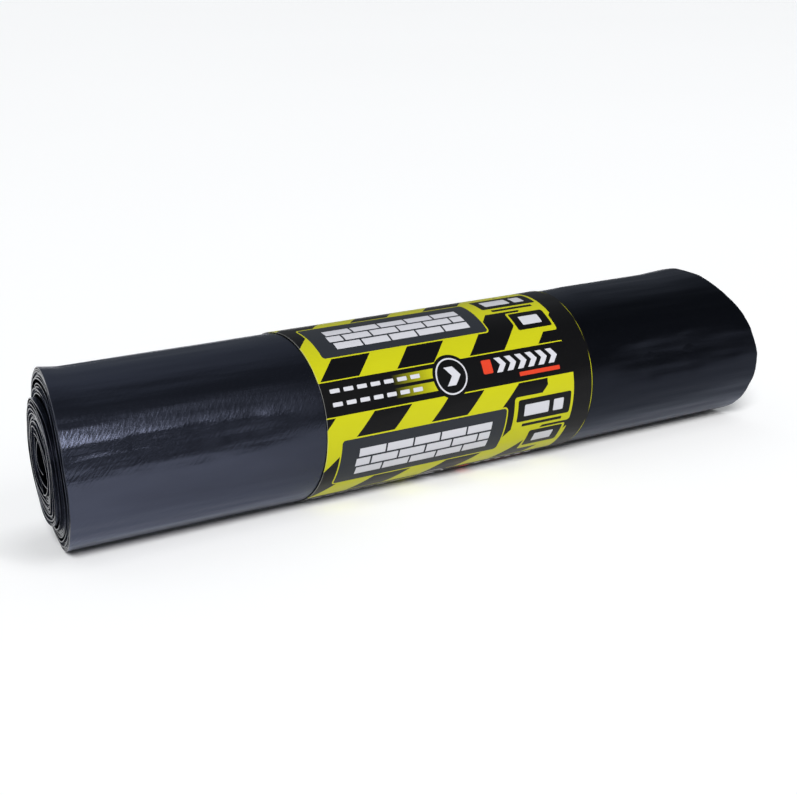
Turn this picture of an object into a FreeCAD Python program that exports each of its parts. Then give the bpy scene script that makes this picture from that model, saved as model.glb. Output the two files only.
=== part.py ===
"""Roll of bin bags with a printed sleeve, lying on its side.

The roll is one long web of bags, folded lengthwise and wound without a core. It is soft, so it rests on a
small flat spot, its inner turns have parted from the outer ones in crescent pockets, its inner coil has slipped
a little out of the left end, and neither end is square to the axis. A printed sleeve, closed by a glued lap,
holds the roll round its middle.

Frame: X along the roll, +Z up, the origin on the ground at the middle of the bounding box. Millimetres.
"""
import FreeCAD, Part
import math
import os
import Sketcher

# Driving dimensions. Lengths are in millimetres, and angles in degrees from +Y towards +Z.
SIZES = [
    ("roll_radius", 35.0, "outside radius of the outermost turn"),
    ("roll_length", 352.0, "width of the folded web, measured along the front of the roll"),
    ("flat_width", 16.0, "width of the flat spot that the roll rests on"),
    ("flat_depth", 14.0, "depth inside the roll at which the turns no longer feel the flat spot"),
    ("web_thickness", 1.0, "thickness of a modelled turn, which stands for a few real folds of film"),
    ("turn_pitch", 1.2, "distance from one modelled turn to the next"),
    ("eye_radius", 14.5, "radius of the hollow in the middle of the coil"),
    ("tail_angle", 300.0, "place of the outer end of the web"),
    ("outer_wraps", 3, "turns outside the first pocket"),
    ("ring_wraps", 3, "turns between the first pocket and the second"),
    ("outer_pocket", 1.8, "depth of the crescent pockets under the outer wraps"),
    ("inner_pocket", 1.6, "depth of the crescent pockets round the inner coil"),
    ("start_slack", 4.5, "how far the loose start of the web leans into the eye"),
    ("ring_proud", 1.0, "how far the middle turns stand out of the left end"),
    ("coil_proud", 4.2, "how far the inner coil stands out of the left end"),
    ("left_lean", 18.0, "how much further in the left end lies at the back than at the front"),
    ("lean_angle", -14.0, "where the left end lies furthest in"),
    ("recess_depth", 20.0, "how far the right end draws back near the top"),
    ("recess_angle", 70.0, "where the right end draws back most"),
    ("recess_spread", 125.0, "angle on each side over which the right end comes forward again"),
    ("band_start", 111.0, "from the front of the roll's left end to the sleeve"),
    ("band_length", 138.0, "length of the sleeve along the roll"),
    ("band_thickness", 0.25, "thickness of the sleeve"),
    ("band_clearance", 0.15, "between the film and the sleeve"),
    ("lap_width", 14.0, "overlap that closes the sleeve"),
    ("lap_angle", -44.0, "where the overlap starts"),
]

# The direction of the ground from the roll's axis, in degrees.
LOWEST_ANGLE = 270.0

# How the winding is drawn, as numbers without a unit.
POINTS_PER_TURN = 36
PRESS_SPREAD_SHARE = 1.7
TAIL_STEP = 0.12
ROUNDING_TURNS = 4.0
LOOSE_TURNS = 1.6
POCKET_SHARPNESS = 3
POCKET_LEAN = 0.3
DRIFT_WAVES_PER_TURN = 0.37
DRIFT_SHARE = 0.3

doc = FreeCAD.newDocument("bin_bag_roll")
sheet = doc.addObject("Spreadsheet::Sheet", "sizes")
for row, (alias, value, meaning) in enumerate(SIZES, start=1):
    sheet.set(f"A{row}", alias)
    sheet.set(f"B{row}", str(value))
    sheet.setAlias(f"B{row}", alias)
    sheet.set(f"C{row}", meaning)
doc.recompute()
sizes = {alias: float(sheet.get(alias)) for alias, _, _ in SIZES}

# The flat spot takes this much off the circle of the roll's outermost turn.
roll_sag = sizes["roll_radius"] - math.sqrt(sizes["roll_radius"] ** 2 - (sizes["flat_width"] / 2) ** 2)
press_spread = math.degrees(math.asin(sizes["flat_width"] / 2 / sizes["roll_radius"])) * PRESS_SPREAD_SHARE
turn_count = round((sizes["roll_radius"] - sizes["eye_radius"]) / sizes["turn_pitch"])


def smooth_step(value):
    """0 below 0 and 1 above 1, with a smooth S between them."""
    share = min(max(value, 0.0), 1.0)
    return share * share * (3.0 - 2.0 * share)


def angle_between(first, second):
    """Signed angle from the second direction to the first, between -180 and 180 degrees."""
    return (first - second + 180.0) % 360.0 - 180.0


def winding_depth(turns):
    """Depth of the web inside the roll, in pitches, so many turns in from its outer end.

    The outermost turn keeps one radius and steps down by a pitch just before it passes under the tail. That
    step fades over the next few turns, and further in the web is a plain spiral.
    """
    share = turns % 1.0
    step = smooth_step((share - 1.0 + TAIL_STEP) / TAIL_STEP)
    roundness = min(max(1.0 - (turns - 1.0) / ROUNDING_TURNS, 0.0), 1.0)
    return turns - roundness * (share - step)


def pocket_depth(turns, angle):
    """How far the web is pressed in where it has parted from the turns outside it.

    Each pocket is a power of the sine, so it is deep at the top and the bottom and closes at the two sides.
    The power falls towards the eye, where the turns are close to ellipses.
    """
    sharpness = POCKET_SHARPNESS - turns / turn_count
    crescent = abs(math.sin(angle)) ** sharpness
    first_pocket = sizes["outer_wraps"] - 1 + sizes["tail_angle"] / 360.0
    second_pocket = first_pocket + sizes["ring_wraps"]
    depth = 0.0
    if turns > first_pocket:
        depth += sizes["outer_pocket"] * (1.0 + POCKET_LEAN * math.cos(angle))
    if turns > second_pocket:
        depth += sizes["inner_pocket"] * (1.0 - POCKET_LEAN * math.cos(angle))
    return depth * crescent


def pressed_flat(radius, angle):
    """Radius at this angle once the roll's weight has pressed its underside flat.

    A squared cosine about the lowest point takes the flat spot's height off the outermost turn, and less off
    the turns further in.
    """
    away = abs(angle_between(math.degrees(angle), LOWEST_ANGLE))
    if away > press_spread:
        return radius
    depth = sizes["roll_radius"] - radius
    sag = roll_sag * max(0.0, 1.0 - depth / sizes["flat_depth"])
    return radius - sag * math.cos(math.pi / 2 * away / press_spread) ** 2


def side_drift(turns):
    """How far a turn is shifted along the roll, to the left: not at all outside, and most in the coil."""
    ring = smooth_step(turns - sizes["outer_wraps"] + 0.5)
    coil = smooth_step(turns - sizes["outer_wraps"] - sizes["ring_wraps"] + 0.5)
    proud = sizes["ring_proud"] * ring + (sizes["coil_proud"] - sizes["ring_proud"]) * coil
    wander = DRIFT_SHARE * (1.0 - math.cos(2.0 * math.pi * DRIFT_WAVES_PER_TURN * turns)) / 2.0
    return -proud * (1.0 - wander)


def left_inset(radius, angle):
    """How far in the left end lies: its edges are in one slanting plane, furthest in at the lean's angle."""
    toward_back = radius * math.cos(angle - math.radians(sizes["lean_angle"]))
    return sizes["left_lean"] / 2 * (1.0 + toward_back / sizes["roll_radius"])


def right_recess(radius, angle):
    """How far the right end is drawn back: a squared cosine about one angle, less deep further in."""
    away = abs(angle_between(math.degrees(angle), sizes["recess_angle"]))
    if away > sizes["recess_spread"]:
        return 0.0
    bump = math.cos(math.pi / 2 * away / sizes["recess_spread"]) ** 2
    return sizes["recess_depth"] * bump * (radius / sizes["roll_radius"]) ** 2


def web_point(turns, out, right):
    """Point of the wound web's edge, so many turns in from the tail.

    out is 0.5 on the web's outer face and -0.5 on its inner face, and right is 0 at the left end of the roll
    and 1 at the right end.
    """
    angle = math.radians(sizes["tail_angle"] - 360.0 * turns)
    middle = sizes["roll_radius"] - sizes["web_thickness"] / 2
    middle -= sizes["turn_pitch"] * winding_depth(turns) + pocket_depth(turns, angle)
    loose = max(0.0, (turns - turn_count + LOOSE_TURNS) / LOOSE_TURNS)
    middle -= sizes["start_slack"] * loose**2
    radius = pressed_flat(middle + out * sizes["web_thickness"], angle)
    start = left_inset(radius, angle)
    end = sizes["roll_length"] - right_recess(radius, angle)
    along = side_drift(turns) + start + right * (end - start)
    return FreeCAD.Vector(along, radius * math.cos(angle), radius * math.sin(angle))


def web_edge(out, right):
    """The smooth curve of one long edge of the web, from its tail to its start in the eye."""
    turns = [step / POINTS_PER_TURN for step in range(turn_count * POINTS_PER_TURN + 1)]
    curve = Part.BSplineCurve()
    curve.interpolate(Points=[web_point(turn, out, right) for turn in turns], Parameters=turns)
    return curve


def one_turn(curve, turn):
    """The edge of one turn, cut from the long curve."""
    piece = curve.copy()
    piece.segment(turn, turn + 1)
    return piece.toShape()


def wound_web():
    """The wound web as one solid.

    Each turn has an outer face, an inner face and a narrow face at each end of the roll, ruled between the
    four edges of the web. A face across the web closes it at the tail and one closes it in the eye.
    """
    sides = [(0.5, 0.0), (0.5, 1.0), (-0.5, 1.0), (-0.5, 0.0)]
    curves = [web_edge(out, right) for out, right in sides]
    faces = []
    for turn in range(turn_count):
        edges = [one_turn(curve, turn) for curve in curves]
        for first, second in zip(edges, edges[1:] + edges[:1]):
            faces.append(Part.makeRuledSurface(first, second))
    for turns in (0.0, float(turn_count)):
        corners = [curve.value(turns) for curve in curves]
        near = Part.makeLine(corners[0], corners[1])
        far = Part.makeLine(corners[3], corners[2])
        faces.append(Part.makeRuledSurface(near, far))
    shell = Part.makeShell(faces)
    shell.sewShape()
    solid = Part.makeSolid(Part.Shell(shell.Faces))
    if solid.Volume < 0.0:
        solid.reverse()
    return solid


# The height of the roll's axis, which leaves the sleeve's flat on the ground.
sag = "(<<sizes>>.roll_radius - sqrt(<<sizes>>.roll_radius ^ 2 - (<<sizes>>.flat_width / 2) ^ 2))"
sleeve_wall = "<<sizes>>.band_clearance + <<sizes>>.band_thickness"
axis_height = f"<<sizes>>.roll_radius - {sag} + {sleeve_wall}"


# The roll is placed so that its ends reach equally far to both sides of the origin.
roll = doc.addObject("Part::Feature", "bag_roll")
roll.Label = "bag_roll"
roll.Shape = wound_web()
reach = roll.Shape.BoundBox
roll.Placement = FreeCAD.Placement(FreeCAD.Vector(-(reach.XMin + reach.XMax) / 2, 0, 0), FreeCAD.Rotation())
roll.setExpression(".Placement.Base.z", axis_height)


def ring_arc(sketch, radius, start, end):
    """An arc about the sketch's origin, anticlockwise between two angles in degrees."""
    circle = Part.Circle(FreeCAD.Vector(0, 0, 0), FreeCAD.Vector(0, 0, 1), radius)
    arc = Part.ArcOfCircle(circle, math.radians(start), math.radians(end))
    index = sketch.addGeometry(arc, False)
    sketch.addConstraint(Sketcher.Constraint("Coincident", index, 3, -1, 1))
    return index


def joining_line(sketch, before, after):
    """A straight line from the end of one arc to the start of another."""
    start = sketch.Geometry[before].EndPoint
    end = sketch.Geometry[after].StartPoint
    index = sketch.addGeometry(Part.LineSegment(start, end), False)
    sketch.addConstraint(Sketcher.Constraint("Coincident", before, 2, index, 1))
    sketch.addConstraint(Sketcher.Constraint("Coincident", index, 2, after, 1))
    return index


def drive(sketch, name, constraint, formula):
    """Add a named dimension and bind it to the sheet."""
    index = sketch.addConstraint(constraint)
    sketch.renameConstraint(index, name)
    sketch.setExpression(f"Constraints.{name}", formula)


def sleeve_sketch(body):
    """Section of the sleeve: a ring with a flat underneath, and a second layer over the glued lap."""
    sketch = body.newObject("Sketcher::SketchObject", "sleeve_section")
    planes = [plane for plane in body.Origin.OriginFeatures if plane.Role == "YZ_Plane"]
    sketch.AttachmentSupport = [(planes[0], "")]
    sketch.MapMode = "FlatFace"

    inner = sizes["roll_radius"] + sizes["band_clearance"]
    outer = inner + sizes["band_thickness"]
    lap = outer + sizes["band_thickness"]
    half_inner = math.degrees(math.acos((inner - roll_sag) / inner))
    half_outer = math.degrees(math.acos((outer - roll_sag) / outer))
    lap_start = sizes["lap_angle"]
    lap_end = lap_start + math.degrees(sizes["lap_width"] / lap)

    inner_arc = ring_arc(sketch, inner, -90 + half_inner, 270 - half_inner)
    outer_below = ring_arc(sketch, outer, -90 + half_outer, lap_start)
    lap_arc = ring_arc(sketch, lap, lap_start, lap_end)
    outer_above = ring_arc(sketch, outer, lap_end, 270 - half_outer)
    inner_flat = joining_line(sketch, inner_arc, inner_arc)
    step_up = joining_line(sketch, outer_below, lap_arc)
    step_down = joining_line(sketch, lap_arc, outer_above)
    outer_flat = joining_line(sketch, outer_above, outer_below)

    for flat in (inner_flat, outer_flat):
        sketch.addConstraint(Sketcher.Constraint("Horizontal", flat))
    for step in (step_up, step_down):
        sketch.addConstraint(Sketcher.Constraint("PointOnObject", -1, 1, step))
    sketch.addConstraint(Sketcher.Constraint("Equal", outer_below, outer_above))

    film = "<<sizes>>.roll_radius + <<sizes>>.band_clearance"
    wall = "<<sizes>>.band_thickness"
    drive(sketch, "inner_radius", Sketcher.Constraint("Radius", inner_arc, inner), film)
    drive(sketch, "outer_radius", Sketcher.Constraint("Radius", outer_below, outer), f"{film} + {wall}")
    drive(sketch, "lap_radius", Sketcher.Constraint("Radius", lap_arc, lap), f"{film} + 2 * {wall}")
    inner_drop = Sketcher.Constraint("DistanceY", inner_flat, 1, -1, 1, inner - roll_sag)
    drive(sketch, "inner_drop", inner_drop, f"{film} - {sag}")
    outer_drop = Sketcher.Constraint("DistanceY", outer_flat, 1, -1, 1, outer - roll_sag)
    drive(sketch, "outer_drop", outer_drop, f"{film} + {wall} - {sag}")
    lap_height = Sketcher.Constraint("DistanceY", lap_arc, 1, -1, 1, -lap * math.sin(math.radians(lap_start)))
    drive(sketch, "lap_height", lap_height, f"-({film} + 2 * {wall}) * sin(<<sizes>>.lap_angle)")
    lap_span = Sketcher.Constraint("Angle", lap_arc, math.radians(lap_end - lap_start))
    drive(sketch, "lap_span", lap_span, f"<<sizes>>.lap_width / ({film} + 2 * {wall}) * 180 deg / pi")
    return sketch


sleeve = doc.addObject("PartDesign::Body", "label_band")
sleeve.Label = "label_band"
section = sleeve_sketch(sleeve)
wrap = sleeve.newObject("PartDesign::Pad", "sleeve_wrap")
wrap.Profile = section
wrap.setExpression("Length", "<<sizes>>.band_length")
sleeve.setExpression(".Placement.Base.x", "bag_roll.Placement.Base.x + <<sizes>>.band_start * 1 mm")
sleeve.setExpression(".Placement.Base.z", axis_height)
doc.recompute()

for item in doc.Objects:
    if "Invalid" in item.State or "Error" in item.State:
        raise RuntimeError(f"{item.Name} could not be computed: {item.State}")
for piece in (roll, sleeve):
    if piece.Shape.isNull() or not piece.Shape.isValid():
        raise RuntimeError(f"{piece.Label} has no valid shape")

os.makedirs("parts", exist_ok=True)
for piece in (roll, sleeve):
    piece.Shape.exportStep(f"parts/{piece.Label}.step")
    box = piece.Shape.BoundBox
    print(piece.Label, len(piece.Shape.Solids), "solid", round(piece.Shape.Volume), "mm3", box)
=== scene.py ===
"""Looks of a roll of bin bags with a printed sleeve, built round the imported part. Metres, in the part's frame."""
import math

import bpy
import numpy as np
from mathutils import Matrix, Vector


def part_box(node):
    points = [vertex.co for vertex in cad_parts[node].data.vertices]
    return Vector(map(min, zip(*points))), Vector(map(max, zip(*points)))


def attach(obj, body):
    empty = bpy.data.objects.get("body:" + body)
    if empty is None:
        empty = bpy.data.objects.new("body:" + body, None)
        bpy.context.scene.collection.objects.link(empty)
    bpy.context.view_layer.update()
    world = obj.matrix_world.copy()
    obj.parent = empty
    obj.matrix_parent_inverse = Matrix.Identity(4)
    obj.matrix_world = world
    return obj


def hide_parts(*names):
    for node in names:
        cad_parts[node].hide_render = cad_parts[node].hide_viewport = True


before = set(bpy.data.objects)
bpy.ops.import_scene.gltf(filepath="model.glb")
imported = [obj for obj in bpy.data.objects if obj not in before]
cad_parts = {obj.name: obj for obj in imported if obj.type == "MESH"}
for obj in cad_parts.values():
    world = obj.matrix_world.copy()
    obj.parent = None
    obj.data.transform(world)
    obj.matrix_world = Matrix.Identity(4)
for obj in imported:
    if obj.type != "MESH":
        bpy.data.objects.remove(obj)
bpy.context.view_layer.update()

# The roll of bags: thin polyethylene film, tinted blue-black, folded lengthwise and wound into one long web
# without a core. The turns have parted in crescent pockets, the inner coil stands a little out of the left end,
# and neither end is square to the axis.

front_length = 0.352
roll_radius = 0.035
right_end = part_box("bag_roll")[1].x
left_end = right_end - front_length

film_thickness = 0.00040
turn_pitch = 0.0006
eye_radius = 0.0145
turn_count = round((roll_radius - eye_radius) / turn_pitch)
tail_angle = math.radians(300)
tail_step = 0.1
rounding_turns = 6.0
outer_wraps = 6
ring_wraps = 6
outer_pocket = 0.0018
inner_pocket = 0.0016
pocket_turns = 1.3
pocket_sharpness = 3.0
pocket_lean = 0.3
ring_proud = 0.0010
coil_proud = 0.0042
drift_waves_per_turn = 0.37
drift_share = 0.3
start_slack = 0.0045
loose_turns = 2.5
left_lean = 0.018
lean_angle = math.radians(-14)
recess_depth = 0.020
recess_angle = math.radians(70)
recess_spread = math.radians(125)
flat_width = 0.016
flat_depth = 0.014
lowest_angle = math.radians(270)
flat_sag = roll_radius - math.sqrt(roll_radius**2 - (flat_width / 2) ** 2)
press_share = 1.7
press_spread = press_share * math.asin(flat_width / 2 / roll_radius)
sleeve_clearance = 0.00015
sleeve_wall = 0.00025
axis_height = roll_radius - flat_sag + sleeve_clearance + sleeve_wall


def smooth_step(value):
    """0 below 0 and 1 above 1, with the S curve 3 t squared minus 2 t cubed between them."""
    share = np.clip(value, 0.0, 1.0)
    return share * share * (3.0 - 2.0 * share)


def angle_between(first, second):
    """Signed angle from the second direction to the first, from minus half a turn to half a turn."""
    return (first - second + math.pi) % (2 * math.pi) - math.pi


def cosine_bump(away, spread):
    """Squared cosine that is 1 where away is 0 and falls to 0 at spread on each side."""
    return np.cos(math.pi / 2 * np.clip(np.abs(away) / spread, 0.0, 1.0)) ** 2


def wave_sum(first, second, waves):
    """Sum of sine waves over two coordinates. A wave is its height, its counts per unit of each, and a phase."""
    total = np.zeros(np.broadcast(first, second).shape)
    for height, count_first, count_second, phase in waves:
        total += height * np.sin(2 * math.pi * (count_first * first + count_second * second) + phase)
    return total


def winding_radius(turns, angle):
    """Middle radius of the web, so many turns in from its tail.

    The radius falls by one pitch for each turn. The outermost turn keeps its radius and steps down under the
    tail. Powers of the sine press the inner groups of turns away from the outer ones at the top and bottom.
    """
    share = turns % 1.0
    step = smooth_step((share - 1.0 + tail_step) / tail_step)
    roundness = np.clip(1.0 - (turns - 1.0) / rounding_turns, 0.0, 1.0)
    depth = turns - roundness * (share - step)
    radius = roll_radius - film_thickness / 2 - turn_pitch * depth
    crescent = np.abs(np.sin(angle)) ** (pocket_sharpness - turns / turn_count)
    first_pocket = outer_wraps - 1 + tail_angle / (2 * math.pi)
    second_pocket = first_pocket + ring_wraps
    opened = smooth_step((turns - first_pocket) / pocket_turns)
    pressed = outer_pocket * opened * (1.0 + pocket_lean * np.cos(angle))
    opened = smooth_step((turns - second_pocket) / pocket_turns)
    pressed = pressed + inner_pocket * opened * (1.0 - pocket_lean * np.cos(angle))
    loose = np.clip((turns - turn_count + loose_turns) / loose_turns, 0.0, 1.0)
    return radius - pressed * crescent - start_slack * loose**2


def side_drift(turns):
    """How far a turn has slipped to the left: none outside, most in the coil, with a slow wander."""
    ring = smooth_step(turns - outer_wraps + 0.5)
    coil = smooth_step(turns - outer_wraps - ring_wraps + 0.5)
    proud = ring_proud * ring + (coil_proud - ring_proud) * coil
    wander = (1.0 - np.cos(2 * math.pi * drift_waves_per_turn * turns)) / 2
    return -proud * (1.0 - drift_share * wander)


frayed_waves = ((0.00042, 0.29, 0.16, 0.4), (0.00030, 0.71, 0.48, 1.9), (0.00014, 1.93, 0.95, 4.0))
frayed_outside = 0.15
frayed_start = 0.5
frayed_turns = 3.0


def frayed(turns, angle):
    """How unevenly the folded film ends: a little on the outermost turn and more further in."""
    inward = smooth_step((turns - frayed_start) / frayed_turns)
    return wave_sum(turns, angle, frayed_waves) * (frayed_outside + (1.0 - frayed_outside) * inward)


# The front of the film lies flat between two long shallow creases, so that it catches the light as a long facet.
# The creases are given by their angles at a number of places along the roll, and they waver a little.
facet_places = np.array([-0.18, -0.152, -0.146, -0.118, -0.112, -0.075, 0.08, 0.11, 0.145, 0.165, 0.18])
facet_tops = np.radians([157.0, 156.0, 155.0, 155.0, 155.0, 155.0, 152.0, 152.0, 152.0, 157.0, 165.0])
facet_ends = np.radians([181.0, 181.0, 181.5, 180.5, 180.0, 181.0, 185.0, 186.0, 185.0, 182.0, 175.0])
crease_softness = 0.00045
crease_waves = ((0.012, 43.0, 0.3, 0.5), (0.009, 79.0, -0.4, 2.0), (0.013, 17.0, 0.0, 3.9))


def facet_radius(place, angle):
    """Radius of the flat chord between the creases, or the roll's own radius outside them.

    The smaller of the two is taken, less a parabola over the overlap where they are within crease_softness.
    """
    top = np.interp(place, facet_places, facet_tops) + wave_sum(place, angle, crease_waves)
    end = np.interp(place, facet_places, facet_ends) - wave_sum(place, angle, crease_waves[::-1])
    half = (end - top) / 2
    away = np.minimum(np.abs(angle_between(angle, (top + end) / 2)), 1.2)
    chord = roll_radius * np.cos(half) / np.cos(away)
    overlap = np.clip(1.0 - np.abs(roll_radius - chord) / crease_softness, 0.0, 1.0)
    return np.minimum(roll_radius, chord) - crease_softness / 4 * overlap**2


# At both ends the film's edge is lifted a little at the top, and a share of that already right of the sleeve. Each
# change along the roll is given by the place where it starts and the length that it takes.
flare_height = 0.0014
flare_share = 0.35
flare_angle = math.radians(84)
flare_spread = math.radians(60)
flare_left = (-0.157, -0.014)
flare_right = (0.136, 0.024)
flare_early = (0.080, 0.015)
clear_left = (-0.065, -0.03)
clear_right = (0.075, 0.03)
loose_right = (0.13, 0.05)
settled = 0.0001
soft_waves = (
    (0.00007, 3.1, 1.9, 0.3), (0.00006, -4.7, 3.1, 2.0), (0.00004, 7.9, 5.3, 1.1), (0.00003, -13.0, 8.7, 0.5),
)
loose_waves = ((0.00010, 9.0, 1.4, 1.0), (0.00006, -14.0, 2.6, 4.4))


def reached(place, change):
    """0 before a change along the roll starts, 1 where it is complete."""
    start, length = change
    return smooth_step((place - start) / length)


def wrinkles(place, angle):
    """Height of the waves and the flare of the loose film, and how clear of the sleeve each place is, 0 to 1."""
    clear = reached(place, clear_left) + reached(place, clear_right)
    flared = reached(place, flare_left) + (1.0 - flare_share) * reached(place, flare_right)
    flared = flared + flare_share * reached(place, flare_early)
    flare = flare_height * flared * cosine_bump(angle_between(angle, flare_angle), flare_spread)
    soft = wave_sum(place, angle, soft_waves)
    loose = wave_sum(place, angle, loose_waves)
    return clear * (soft - settled) + reached(place, loose_right) * loose + flare, clear


skin_start = 0.0002
skin_depth = 0.004


def web_surface(turns, along, out):
    """Points of the web's outer face (out 0.5) or inner face (out -0.5).

    turns counts inward from the tail and along goes from 0 at the left end to 1 at the right end. The radius is
    the winding's, less the flat spot, with facets and wrinkles on the turns near the outside.
    """
    turns, along = np.broadcast_arrays(turns, along)
    angle = tail_angle - 2 * math.pi * turns
    radius = winding_radius(turns, angle) + out * film_thickness
    depth = roll_radius - radius
    fade = np.clip(1.0 - depth / flat_depth, 0.0, 1.0)
    radius = radius - flat_sag * fade * cosine_bump(angle_between(angle, lowest_angle), press_spread)
    start = left_lean / 2 * (1.0 + radius * np.cos(angle - lean_angle) / roll_radius)
    top = cosine_bump(angle_between(angle, recess_angle), recess_spread)
    recess = recess_depth * top * (radius / roll_radius) ** 2
    loose_ends = frayed(turns, angle) * (1.0 - 2.0 * along)
    place = left_end + side_drift(turns) + loose_ends + start + along * (front_length - recess - start)
    wave, clear = wrinkles(place, angle)
    near_outside = np.clip(1.0 - (depth - skin_start) / skin_depth, 0.0, 1.0)
    radius = radius + near_outside * (wave + clear * (facet_radius(place, angle) - roll_radius))
    y = radius * np.cos(angle)
    z = axis_height + radius * np.sin(angle)
    return np.stack([place, y, z], axis=-1)


def closed_shell(outer, inner):
    """A closed wall between two grids of points of the same shape, with its four edges walled up."""
    rows, columns = outer.shape[:2]
    points = np.concatenate([outer.reshape(-1, 3), inner.reshape(-1, 3)])
    index = np.arange(rows * columns).reshape(rows, columns)
    below = index + rows * columns

    def quads(*corners):
        return np.stack([corner.ravel() for corner in corners], axis=-1)

    faces = np.concatenate([
        quads(index[:-1, :-1], index[1:, :-1], index[1:, 1:], index[:-1, 1:]),
        quads(below[:-1, :-1], below[:-1, 1:], below[1:, 1:], below[1:, :-1]),
        quads(index[:-1, 0], below[:-1, 0], below[1:, 0], index[1:, 0]),
        quads(index[1:, -1], below[1:, -1], below[:-1, -1], index[:-1, -1]),
        quads(index[0, 1:], below[0, 1:], below[0, :-1], index[0, :-1]),
        quads(index[-1, :-1], below[-1, :-1], below[-1, 1:], index[-1, 1:]),
    ])
    return points, faces


sharp_angle = math.radians(45)


def make_piece(name, shells, flow):
    """One smooth mesh from closed shells, with a map of two lengths in metres along and round the surface."""
    points = np.concatenate([shell[0] for shell in shells])
    starts = np.cumsum([0] + [len(shell[0]) for shell in shells[:-1]])
    faces = np.concatenate([shell[1] + start for shell, start in zip(shells, starts)])
    mesh = bpy.data.meshes.new(name)
    mesh.from_pydata(points, [], faces)
    mesh.polygons.foreach_set("use_smooth", np.ones(len(mesh.polygons), bool))
    mesh.set_sharp_from_angle(angle=sharp_angle)
    layer = mesh.uv_layers.new(name="flow")
    layer.data.foreach_set("uv", flow[faces.ravel()].astype(np.float32).ravel())
    piece = bpy.data.objects.new(name, mesh)
    bpy.context.scene.collection.objects.link(piece)
    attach(piece, "root")
    return piece


def flow_of(turns, lengths, radius):
    """The map's two lengths for both faces of a shell, with the length round the roll taken at one radius."""
    along, around = np.meshgrid(lengths, turns * 2 * math.pi * radius)
    flow = np.stack([along.ravel(), around.ravel()], axis=-1)
    return np.concatenate([flow, flow])


# The outermost turn and a quarter has a fine mesh. Further in, only the ends are seen, so the rows stand close
# together near them.
fine_turns = 1.25
outer_turns = np.linspace(0.0, fine_turns, 226)
outer_along = np.linspace(0.0, 1.0, 121)
inner_turns = np.linspace(fine_turns, turn_count, (turn_count - 1) * 66)
inner_along = np.array([0.0, 0.01, 0.04, 0.15, 0.5, 0.85, 0.96, 0.99, 1.0])


def film_shell(turns, along):
    """Both faces and the edges of a stretch of the web."""
    outer = web_surface(turns[:, None], along[None, :], 0.5)
    inner = web_surface(turns[:, None], along[None, :], -0.5)
    return closed_shell(outer, inner)


film = make_piece(
    "wound_film",
    [film_shell(outer_turns, outer_along), film_shell(inner_turns, inner_along)],
    np.concatenate([
        flow_of(outer_turns, outer_along * front_length, roll_radius),
        flow_of(inner_turns, inner_along * front_length, roll_radius),
    ]),
)
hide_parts("bag_roll")


class Value:
    """A number or vector that a shader works out at each point. Python's operators on it add Math nodes."""

    def __init__(self, finish, socket):
        self.finish = finish
        self.socket = socket

    def math(self, operation, *others):
        inputs = dict(enumerate((self, *others)))
        return self.finish.node("ShaderNodeMath", {"operation": operation}, inputs)

    def __add__(self, other):
        return self.math("ADD", other)

    def __sub__(self, other):
        return self.math("SUBTRACT", other)

    def __mul__(self, other):
        return self.math("MULTIPLY", other)

    def __truediv__(self, other):
        return self.math("DIVIDE", other)

    def __rsub__(self, other):
        return self * -1.0 + other

    __radd__ = __add__
    __rmul__ = __mul__

    def __abs__(self):
        return self.math("ABSOLUTE")

    def __lt__(self, other):
        return self.math("LESS_THAN", other)

    def __gt__(self, other):
        return self.math("GREATER_THAN", other)

    def __mod__(self, period):
        return self.math("FLOORED_MODULO", period)

    def larger(self, other):
        return self.math("MAXIMUM", other)

    def smaller(self, other):
        return self.math("MINIMUM", other)

    def root(self):
        return self.math("SQRT")

    def clamped(self):
        return self.larger(0.0).smaller(1.0)


class Finish:
    """The nodes of a material, or of the room's own light, added one by one."""

    def __init__(self, owner):
        owner.use_nodes = True
        self.owner = owner
        self.tree = owner.node_tree
        self.tree.nodes.clear()

    def node(self, kind, settings, inputs, output=0):
        """Add a node: its settings first, then its sockets' values or links. Gives one of its outputs."""
        made = self.tree.nodes.new(kind)
        for name, value in settings.items():
            setattr(made, name, value)
        for key, value in inputs.items():
            if isinstance(value, Value):
                self.tree.links.new(value.socket, made.inputs[key])
            else:
                made.inputs[key].default_value = value
        return Value(self, made.outputs[output])

    def flow(self):
        """The two lengths, along and round the surface, in millimetres."""
        place = self.node("ShaderNodeUVMap", {"uv_map": "flow"}, {})
        along = self.node("ShaderNodeSeparateXYZ", {}, {0: place}, 0)
        around = self.node("ShaderNodeSeparateXYZ", {}, {0: place}, 1)
        return along * 1000.0, around * 1000.0

    def point(self, x, y):
        return self.node("ShaderNodeCombineXYZ", {}, {0: x, 1: y})

    def noise(self, vector, scale, detail=2.0, roughness=0.5):
        inputs = {"Vector": vector, "Scale": scale, "Detail": detail, "Roughness": roughness}
        return self.node("ShaderNodeTexNoise", {}, inputs)

    def mixed(self, share, first, second):
        """The first colour where share is 0 and the second where it is 1."""
        return self.node("ShaderNodeMix", {"data_type": "RGBA"}, {0: share, 6: first, 7: second}, 2)

    def bump(self, height, strength):
        """A normal from a height in metres."""
        inputs = {"Strength": strength, "Distance": 1.0, "Height": height}
        return self.node("ShaderNodeBump", {}, inputs)

    def close(self, shader, kind):
        output = self.tree.nodes.new(kind)
        self.tree.links.new(shader.socket, output.inputs["Surface"])

    def surfaced(self, settings):
        """Close the tree with a Principled surface, and give the material."""
        self.close(self.node("ShaderNodeBsdfPrincipled", {}, settings), "ShaderNodeOutputMaterial")
        return self.owner


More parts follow.
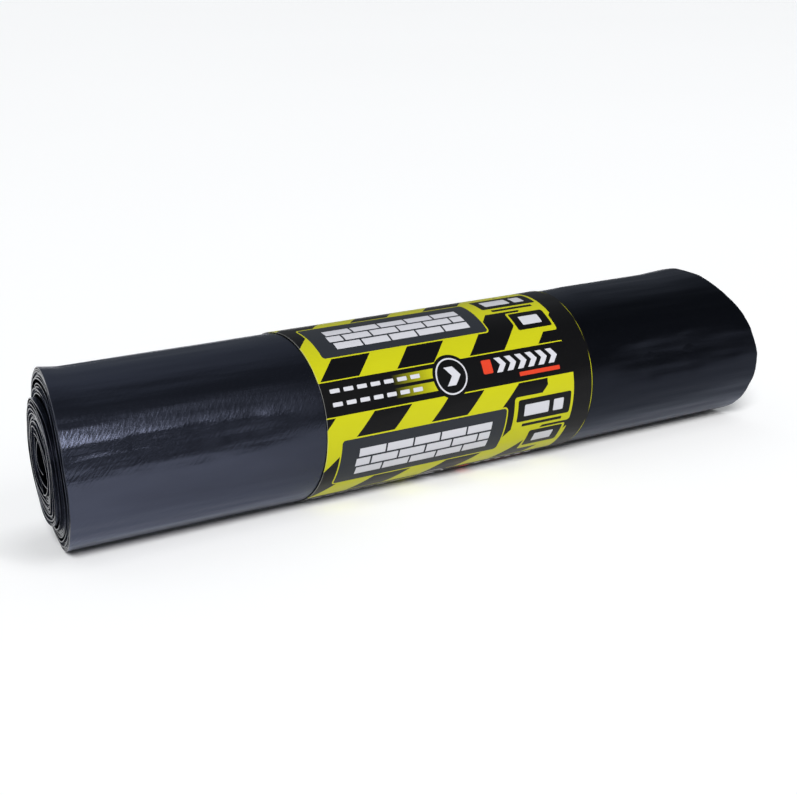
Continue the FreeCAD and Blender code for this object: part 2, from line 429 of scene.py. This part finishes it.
# Heights and widths below are in metres and millimetres as their names say, and scales are per millimetre along
# and round the roll.
film_sheen = (0.067, 0.074, 0.106, 1.0)
# The second sheen colour is the film's own sheen darkened, a painted shade for the right end.
film_shaded_sheen = (0.015, 0.017, 0.024, 1.0)
pale_edge_highlight = (0.115, 0.125, 0.155, 1.0)
dark_edge = (0.012, 0.014, 0.020, 1.0)
grazing_tint = (0.85, 0.88, 0.96, 1.0)
cut_edge_mm = 0.30
dull_and_shade_length_mm = 230.0
dull_and_shade_unevenness = 0.4
crinkle_scale = (0.20, 0.62)
crease_scale = (0.04, 0.40)
cloud_scale = (0.02, 0.09)
patch_scale = (0.035, 0.009)
patch_start = 0.46
patch_contrast = 4.0
crinkle_metres = 0.00010
crease_metres = 0.00006


def film_finish():
    """Black film with a blue sheen, fine slanting crinkles, long soft creases and cut edges, some pale as painted
    highlights.

    Its sheen takes the pigment's blue, as a metal's does, so the film is set as a very dark metal, and only the
    cut edges are not. The sheen colour darkens towards the right as painted shade for light that falls off there,
    and the film is rougher there too.
    """
    finish = Finish(bpy.data.materials.new("blue_black_film"))
    along, around = finish.flow()
    streak = finish.point((along + around) * crinkle_scale[0], (around - along) * crinkle_scale[1])
    crinkle = finish.noise(streak, 1.0, 3.0, 0.6)
    long_creases = finish.noise(finish.point(along * crease_scale[0], around * crease_scale[1]), 1.0)
    cloud = finish.noise(finish.point(along * cloud_scale[0], around * cloud_scale[1]), 1.0)
    # Painted shade: the sheen darkens towards the right, with a cloudy edge, for light that falls off there; the
    # same share makes the film rougher and its crinkles fainter.
    dulled_and_shaded = (along / dull_and_shade_length_mm + (cloud - 0.5) * dull_and_shade_unevenness).clamped()
    sheen = finish.mixed(dulled_and_shaded, film_sheen, film_shaded_sheen)
    from_edge = along.smaller(front_length * 1000.0 - along)
    edge = 1.0 - (from_edge / cut_edge_mm).clamped()
    # Painted highlight: pale patches on the cut edges stand for light catching them; the dark edge colour is the
    # film's own.
    highlight_patches = finish.noise(finish.point(around * patch_scale[0], around * patch_scale[1]), 1.0, 2.0, 0.6)
    edge_highlight_share = ((highlight_patches - patch_start) * patch_contrast).clamped()
    edge_colour_and_highlight = finish.mixed(edge_highlight_share, dark_edge, pale_edge_highlight)
    clear_crinkle = crinkle * (1.0 - dulled_and_shaded)
    return finish.surfaced({
        "Base Color": finish.mixed(edge, sheen, edge_colour_and_highlight),
        "Metallic": 1.0 - edge,
        "Specular Tint": grazing_tint,
        "Roughness": crinkle * 0.10 + dulled_and_shaded * 0.12 + 0.15,
        "Normal": finish.bump(clear_crinkle * crinkle_metres + long_creases * crease_metres, 1.0),
    })


film.data.materials.append(film_finish())

# The sleeve: a strip of coated paper printed yellow and black, wrapped round the middle of the roll and glued
# to itself in a lap low at the back. Its print repeats nearly four times round the roll.

sleeve_low, sleeve_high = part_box("label_band")
sleeve_radius = roll_radius + sleeve_clearance + sleeve_wall
sleeve_length = sleeve_high.x - sleeve_low.x
lap_width = 0.014
lap_start = math.radians(-44)
lap_step = 0.004
lap_rise = 1.1 * sleeve_wall
edge_lift = 0.00018
edge_sharpness = 12
edge_waves = ((0.3, 3.0, 0.2, 0.6), (0.2, 7.0, 1.0, 2.0))
sleeve_arc = 2 * math.pi * sleeve_radius


def sleeve_surface(arc, along, out):
    """Points of the sleeve's outer face (out 1) or inner face (out 0).

    arc is the length of paper from its inner end, wound anticlockwise seen from the right. The last stretch
    lies one wall further out, over the first, the underside is flat, and both edges lift a little in waves.
    """
    arc, along = np.broadcast_arrays(arc, along)
    angle = lap_start + arc / sleeve_radius
    lap = lap_rise * smooth_step((arc - sleeve_arc + lap_step) / lap_step)
    near_edge = np.abs(2.0 * along - 1.0) ** edge_sharpness
    wave = 0.5 + wave_sum(arc / sleeve_arc, along, edge_waves)
    radius = sleeve_radius - sleeve_wall * (1 - out) + lap + edge_lift * near_edge * wave
    away = np.minimum(np.abs(angle_between(angle, lowest_angle)), 1.0)
    flat = (sleeve_radius - flat_sag - sleeve_wall * (1 - out)) / np.cos(away)
    radius = np.where(away < 1.0, np.minimum(radius, flat), radius)
    place = sleeve_low.x + along * sleeve_length
    return np.stack([place, radius * np.cos(angle), axis_height + radius * np.sin(angle)], axis=-1)


paper_arcs = np.linspace(0.0, sleeve_arc + lap_width, 361)
paper_along = np.linspace(0.0, 1.0, 61)
sleeve = make_piece(
    "printed_sleeve",
    [closed_shell(
        sleeve_surface(paper_arcs[:, None], paper_along[None, :], 1.0),
        sleeve_surface(paper_arcs[:, None], paper_along[None, :], 0.0),
    )],
    flow_of(paper_arcs / sleeve_arc, paper_along * sleeve_length, sleeve_radius),
)
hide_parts("label_band")

print_yellow = (0.49, 0.485, 0.009, 1.0)
print_black = (0.0035, 0.0035, 0.0040, 1.0)
print_charcoal = (0.022, 0.025, 0.031, 1.0)
print_light = (0.56, 0.56, 0.60, 1.0)
print_orange = (0.62, 0.05, 0.02, 1.0)
painted_edge_glint = (0.66, 0.66, 0.62, 1.0)

# Places in the print, in millimetres: from the sleeve's left edge, and down from the top of a repeat. A box is its
# left, right, top and bottom. The disc's arrow is how far its tip lies past the middle, its height and its width,
# and the row of arrows has their middle, height and width.
repeat = 57.0
first_repeat = 33.6
repeat_margin = 4.0
stripe_pitch = 37.0
stripe_start = 34.2
stripes_end = 127.0
strip_height = 14.2
strip_end = 125.0
past_edge = -9.0
thin_line = 0.5
bar_tops = (1.9, 7.4)
bar_height = 4.1
bar_fade = (34.0, 56.0)
dash_count = 7
dash_start = 4.0
dash_pitch = 6.5
dash_length = 4.6
dash_rows = (1.2, 2.9)
disc_place = (63.1, 6.5)
disc_radius = 9.4
ring_radii = (7.9, 7.2)
disc_arrow = (4.6, 8.0, 4.4)
arrow_slope = 0.8
arrow_count = 6
arrow_start = 92.0
arrow_pitch = 5.6
arrow_row = (5.4, 6.4, 3.1)
panel_box = (7.0, 90.2, 24.6, 46.4)
panel_line = 0.65
panel_corner = 1.5
panel_line_corner = 2.1
brick_box = (15.0, 83.0, 28.6, 42.6)
brick_size = (13.6, 4.7)
brick_joint = 0.9
margin_place = 137.3
margin_half_width = 0.15
worn_start = 0.42
worn_contrast = 4.0
edge_glint_width = 0.15

# Plain boxes with the radius of their corners and their colour, drawn in this order.
orange_marks = (
    (98.0, 120.0, 10.1, 11.9, 0.2, print_orange),
    (79.5, 84.5, 2.4, 8.4, 0.6, print_orange),
)
small_labels = (
    (112.5, stripes_end, strip_height, 22.1, 0.05, print_yellow),
    (94.3, 127.0, 20.7, 36.6, 1.5, print_yellow),
    (96.3, 125.6, 22.2, 32.6, 1.0, print_black),
    (100.0, 113.5, 24.7, 30.1, 0.5, print_light),
    (116.0, 121.5, 24.7, 30.1, 0.5, print_light),
    (100.0, 122.0, 33.8, 35.3, 0.3, print_black),
    (104.5, 125.4, 37.9, 51.2, 1.2, print_yellow),
    (105.6, 124.2, 38.6, 48.6, 1.0, print_black),
    (109.5, 120.0, 41.1, 46.1, 0.5, print_light),
)


class Sheet:
    """The printed sheet: its length u from the left edge and v down from the roll's top, its shapes and its ink."""

    def __init__(self, finish):
        self.finish = finish
        self.u, arc = finish.flow()
        self.v = arc - (math.pi / 2 - lap_start) * sleeve_radius * 1000.0
        self.down = (self.v - first_repeat + repeat_margin) % repeat - repeat_margin
        self.ink = finish.mixed(0.0, print_black, print_black)

    def box(self, left, right, top, bottom, corner=0.05):
        """1 inside a box with round corners. Distance outside its inner box, compared with the corner."""
        across = abs(self.u - (left + right) / 2) - ((right - left) / 2 - corner)
        down = abs(self.down - (top + bottom) / 2) - ((bottom - top) / 2 - corner)
        across, down = across.larger(0.0), down.larger(0.0)
        return (across * across + down * down).root() < corner

    def disc(self, centre, radius):
        """1 inside a circle."""
        across, down = self.u - centre[0], self.down - centre[1]
        return (across * across + down * down).root() < radius

    def chevron(self, tip, middle, height, width):
        """1 inside an arrowhead that points to the right, its tip at this place."""
        off = abs(self.down - middle)
        behind = tip - off * arrow_slope - self.u
        return (behind > 0.0) * (behind < width) * (off < height / 2)

    def draw(self, mask, colour):
        """Lay a colour over the ink where the mask is 1."""
        self.ink = self.finish.mixed(mask, self.ink, colour)


def draw_strip(sheet):
    """The black strip: two fading bars with dashes, a disc with a ring and an arrow, and a row of arrows."""
    sheet.draw(sheet.box(past_edge, strip_end, -thin_line, strip_height + thin_line), print_yellow)
    sheet.draw(sheet.box(past_edge, stripes_end, 0.0, strip_height), print_black)
    fade = ((sheet.u - bar_fade[0]) / (bar_fade[1] - bar_fade[0])).clamped()
    for top in bar_tops:
        bar = sheet.box(past_edge, bar_fade[1], top, top + bar_height)
        sheet.draw(bar * fade, print_yellow)
        for dash in range(dash_count):
            left = dash_start + dash_pitch * dash
            box = sheet.box(left, left + dash_length, top + dash_rows[0], top + dash_rows[1], 0.3)
            sheet.draw(box, print_light)
    sheet.draw(sheet.disc(disc_place, disc_radius), print_black)
    ring = sheet.disc(disc_place, ring_radii[0]) * (1.0 - sheet.disc(disc_place, ring_radii[1]))
    sheet.draw(ring, print_light)
    tip, height, width = disc_arrow
    sheet.draw(sheet.chevron(disc_place[0] + tip, disc_place[1], height, width), print_light)
    for step in range(arrow_count):
        sheet.draw(sheet.chevron(arrow_start + arrow_pitch * step, *arrow_row), print_light)
    for *sides, colour in orange_marks:
        sheet.draw(sheet.box(*sides), colour)


def draw_panel(sheet):
    """The large panel, grey inside a thin yellow line, with a wall of pale bricks."""
    left, right, top, bottom = panel_box
    grown = (left - panel_line, right + panel_line, top - panel_line, bottom + panel_line)
    sheet.draw(sheet.box(*grown, panel_line_corner), print_yellow)
    sheet.draw(sheet.box(*panel_box, panel_corner), print_charcoal)
    left, right, top, bottom = brick_box
    row = ((sheet.down - top) / brick_size[1]).math("FLOOR")
    in_row = (sheet.down - top) % brick_size[1]
    in_brick = (sheet.u - left + (row % 2.0) * (brick_size[0] / 2)) % brick_size[0]
    brick = (in_brick > brick_joint) * (in_row > brick_joint)
    sheet.draw(brick * sheet.box(*brick_box), print_light)


def sleeve_finish():
    """Coated paper with its print, drawn shape over shape, a line near its right edge with wear, and a painted
    highlight along its cut left edge.
    """
    finish = Finish(bpy.data.materials.new("printed_paper"))
    sheet = Sheet(finish)
    stripes = ((sheet.u + sheet.v - stripe_start) / stripe_pitch) % 1.0 > 0.5
    sheet.draw(stripes * (sheet.u < stripes_end), print_yellow)
    draw_strip(sheet)
    draw_panel(sheet)
    for *sides, colour in small_labels:
        sheet.draw(sheet.box(*sides), colour)
    wear_and_glint_noise = finish.noise(finish.point(sheet.u, sheet.v * 0.08), 1.0, 1.0, 0.5)
    left_over = ((wear_and_glint_noise - worn_start) * worn_contrast).clamped()
    sheet.draw((abs(sheet.u - margin_place) < margin_half_width) * left_over, print_yellow)
    # Painted highlight: a broken pale line along the left edge, where the paper's edge catches the light.
    sheet.draw((sheet.u < edge_glint_width) * wear_and_glint_noise * 0.5, painted_edge_glint)
    grain = finish.noise(finish.point(sheet.u, sheet.v), 3.0, 3.0, 0.6)
    waves = finish.noise(finish.point(sheet.u * 0.03, sheet.v * 0.12), 1.0, 1.0, 0.5)
    return finish.surfaced({
        "Base Color": sheet.ink,
        "Specular IOR Level": 0.12,
        "Roughness": grain * 0.08 + 0.30,
        "Normal": finish.bump(grain * 0.000012 + waves * 0.0003, 1.0),
    })


sleeve.data.materials.append(sleeve_finish())

# The table that the roll lies on: one wide matt surface in a slightly uneven white. To the camera and to mirrors
# it is a little brighter than its light makes it, so that it comes out white. Close to the roll it isn't, which
# paints a darker band there as a contact shadow, over the real shadow.

table_reach = 12.0
lift = (0.16, 0.16, 0.16, 1.0)
no_lift = (0.0, 0.0, 0.0, 1.0)
lift_reach = 0.162
lift_start = 0.011
lift_rise = 0.022
table_mesh = bpy.data.meshes.new("pale_table")
table_corners = np.array([(-1, -1, 0), (1, -1, 0), (1, 1, 0), (-1, 1, 0)]) * table_reach
table_mesh.from_pydata(table_corners, [], [(0, 1, 2, 3)])
table = bpy.data.objects.new("pale_table", table_mesh)
bpy.context.scene.collection.objects.link(table)


def table_finish():
    """Matt white, lifted for the rays that the camera, mirrors and clear things send, except close to the roll,
    where the missing lift paints a contact shadow.
    """
    finish = Finish(bpy.data.materials.new("pale_table"))
    place = finish.node("ShaderNodeTexCoord", {}, {}, "Object")
    uneven = finish.noise(place, 2.0, 2.0, 0.5)
    colour = finish.mixed(uneven, (0.94, 0.94, 0.94, 1.0), (0.96, 0.96, 0.96, 1.0))
    along = finish.node("ShaderNodeSeparateXYZ", {}, {0: place}, 0)
    across = finish.node("ShaderNodeSeparateXYZ", {}, {0: place}, 1)
    past_end = (abs(along) - lift_reach).larger(0.0)
    from_roll = (past_end * past_end + across * across).root()
    seen = 0.0
    for ray in ("Is Camera Ray", "Is Glossy Ray", "Is Transmission Ray"):
        seen = finish.node("ShaderNodeLightPath", {}, {}, ray) + seen
    # Painted shadow: no lift near the roll, so the floor there is darker than its light makes it.
    lift_outside_painted_shadow = ((from_roll - lift_start) / lift_rise).clamped()
    lifted = finish.mixed(seen.clamped() * lift_outside_painted_shadow, no_lift, lift)
    return finish.surfaced({
        "Base Color": colour,
        "Roughness": 0.9,
        "Specular IOR Level": 0.1,
        "Emission Color": lifted,
        "Emission Strength": 1.0,
    })


table_mesh.materials.append(table_finish())

# The light of a plain studio: a dim room that is brighter behind and above, a broad lamp on the left in front,
# which gives soft shadows, and a tall narrow lamp high in front, whose reflection lies on the roll's left end.

room_level = 0.17
room_behind = 0.29
room_right = -0.05
broad_lamp = bpy.data.lights.new("broad_lamp", "SUN")
broad_lamp.energy = 3.1
broad_lamp.angle = math.radians(22)
strip_lamp = bpy.data.lights.new("strip_lamp", "AREA")
strip_lamp.shape = "RECTANGLE"
strip_lamp.size = 0.25
strip_lamp.size_y = 2.2
strip_lamp.energy = 21.0
lamp_places = ((broad_lamp, (-1.5, -1.9, 1.75)), (strip_lamp, (0.86, -2.7, 2.05)))
for light, place in lamp_places:
    lamp = bpy.data.objects.new(light.name, light)
    bpy.context.scene.collection.objects.link(lamp)
    lamp.location = place
    lamp.rotation_euler = Vector(place).to_track_quat("Z", "Y").to_euler()

room = Finish(bpy.data.worlds.new("dim_room"))
bpy.context.scene.world = room.owner
direction = room.node("ShaderNodeTexCoord", {}, {}, "Generated")
to_right = room.node("ShaderNodeSeparateXYZ", {}, {0: direction}, 0)
to_back = room.node("ShaderNodeSeparateXYZ", {}, {0: direction}, 1)
upward = room.node("ShaderNodeSeparateXYZ", {}, {0: direction}, 2)
behind = ((to_back + 0.1) * 2.5).clamped() * upward.clamped()
level = behind * room_behind + to_right * room_right + room_level
glow = room.node("ShaderNodeBackground", {}, {"Color": (0.90, 0.95, 1.0, 1.0), "Strength": level})
room.close(glow, "ShaderNodeOutputWorld")

# The camera stands in front of the roll, left of it and a little above, where it was fitted to the roll's outline
# in the photo.

picture_width = 797
focal_pixels = 1721.8
camera_azimuth = math.radians(-34.842)
camera_elevation = math.radians(15.699)
camera_offset = Vector((-0.23741, -0.58469, 0.19932))

lens = bpy.data.cameras.new("photo_camera")
lens.sensor_width = 36.0
lens.lens = focal_pixels / picture_width * lens.sensor_width
lens.clip_start = 0.01
camera = bpy.data.objects.new("photo_camera", lens)
bpy.context.scene.collection.objects.link(camera)
camera.location = Vector((left_end, 0.0, axis_height)) + camera_offset
camera.rotation_euler = (math.pi / 2 - camera_elevation, 0.0, camera_azimuth)
bpy.context.scene.camera = camera
bpy.context.scene.view_settings.view_transform = "Standard"
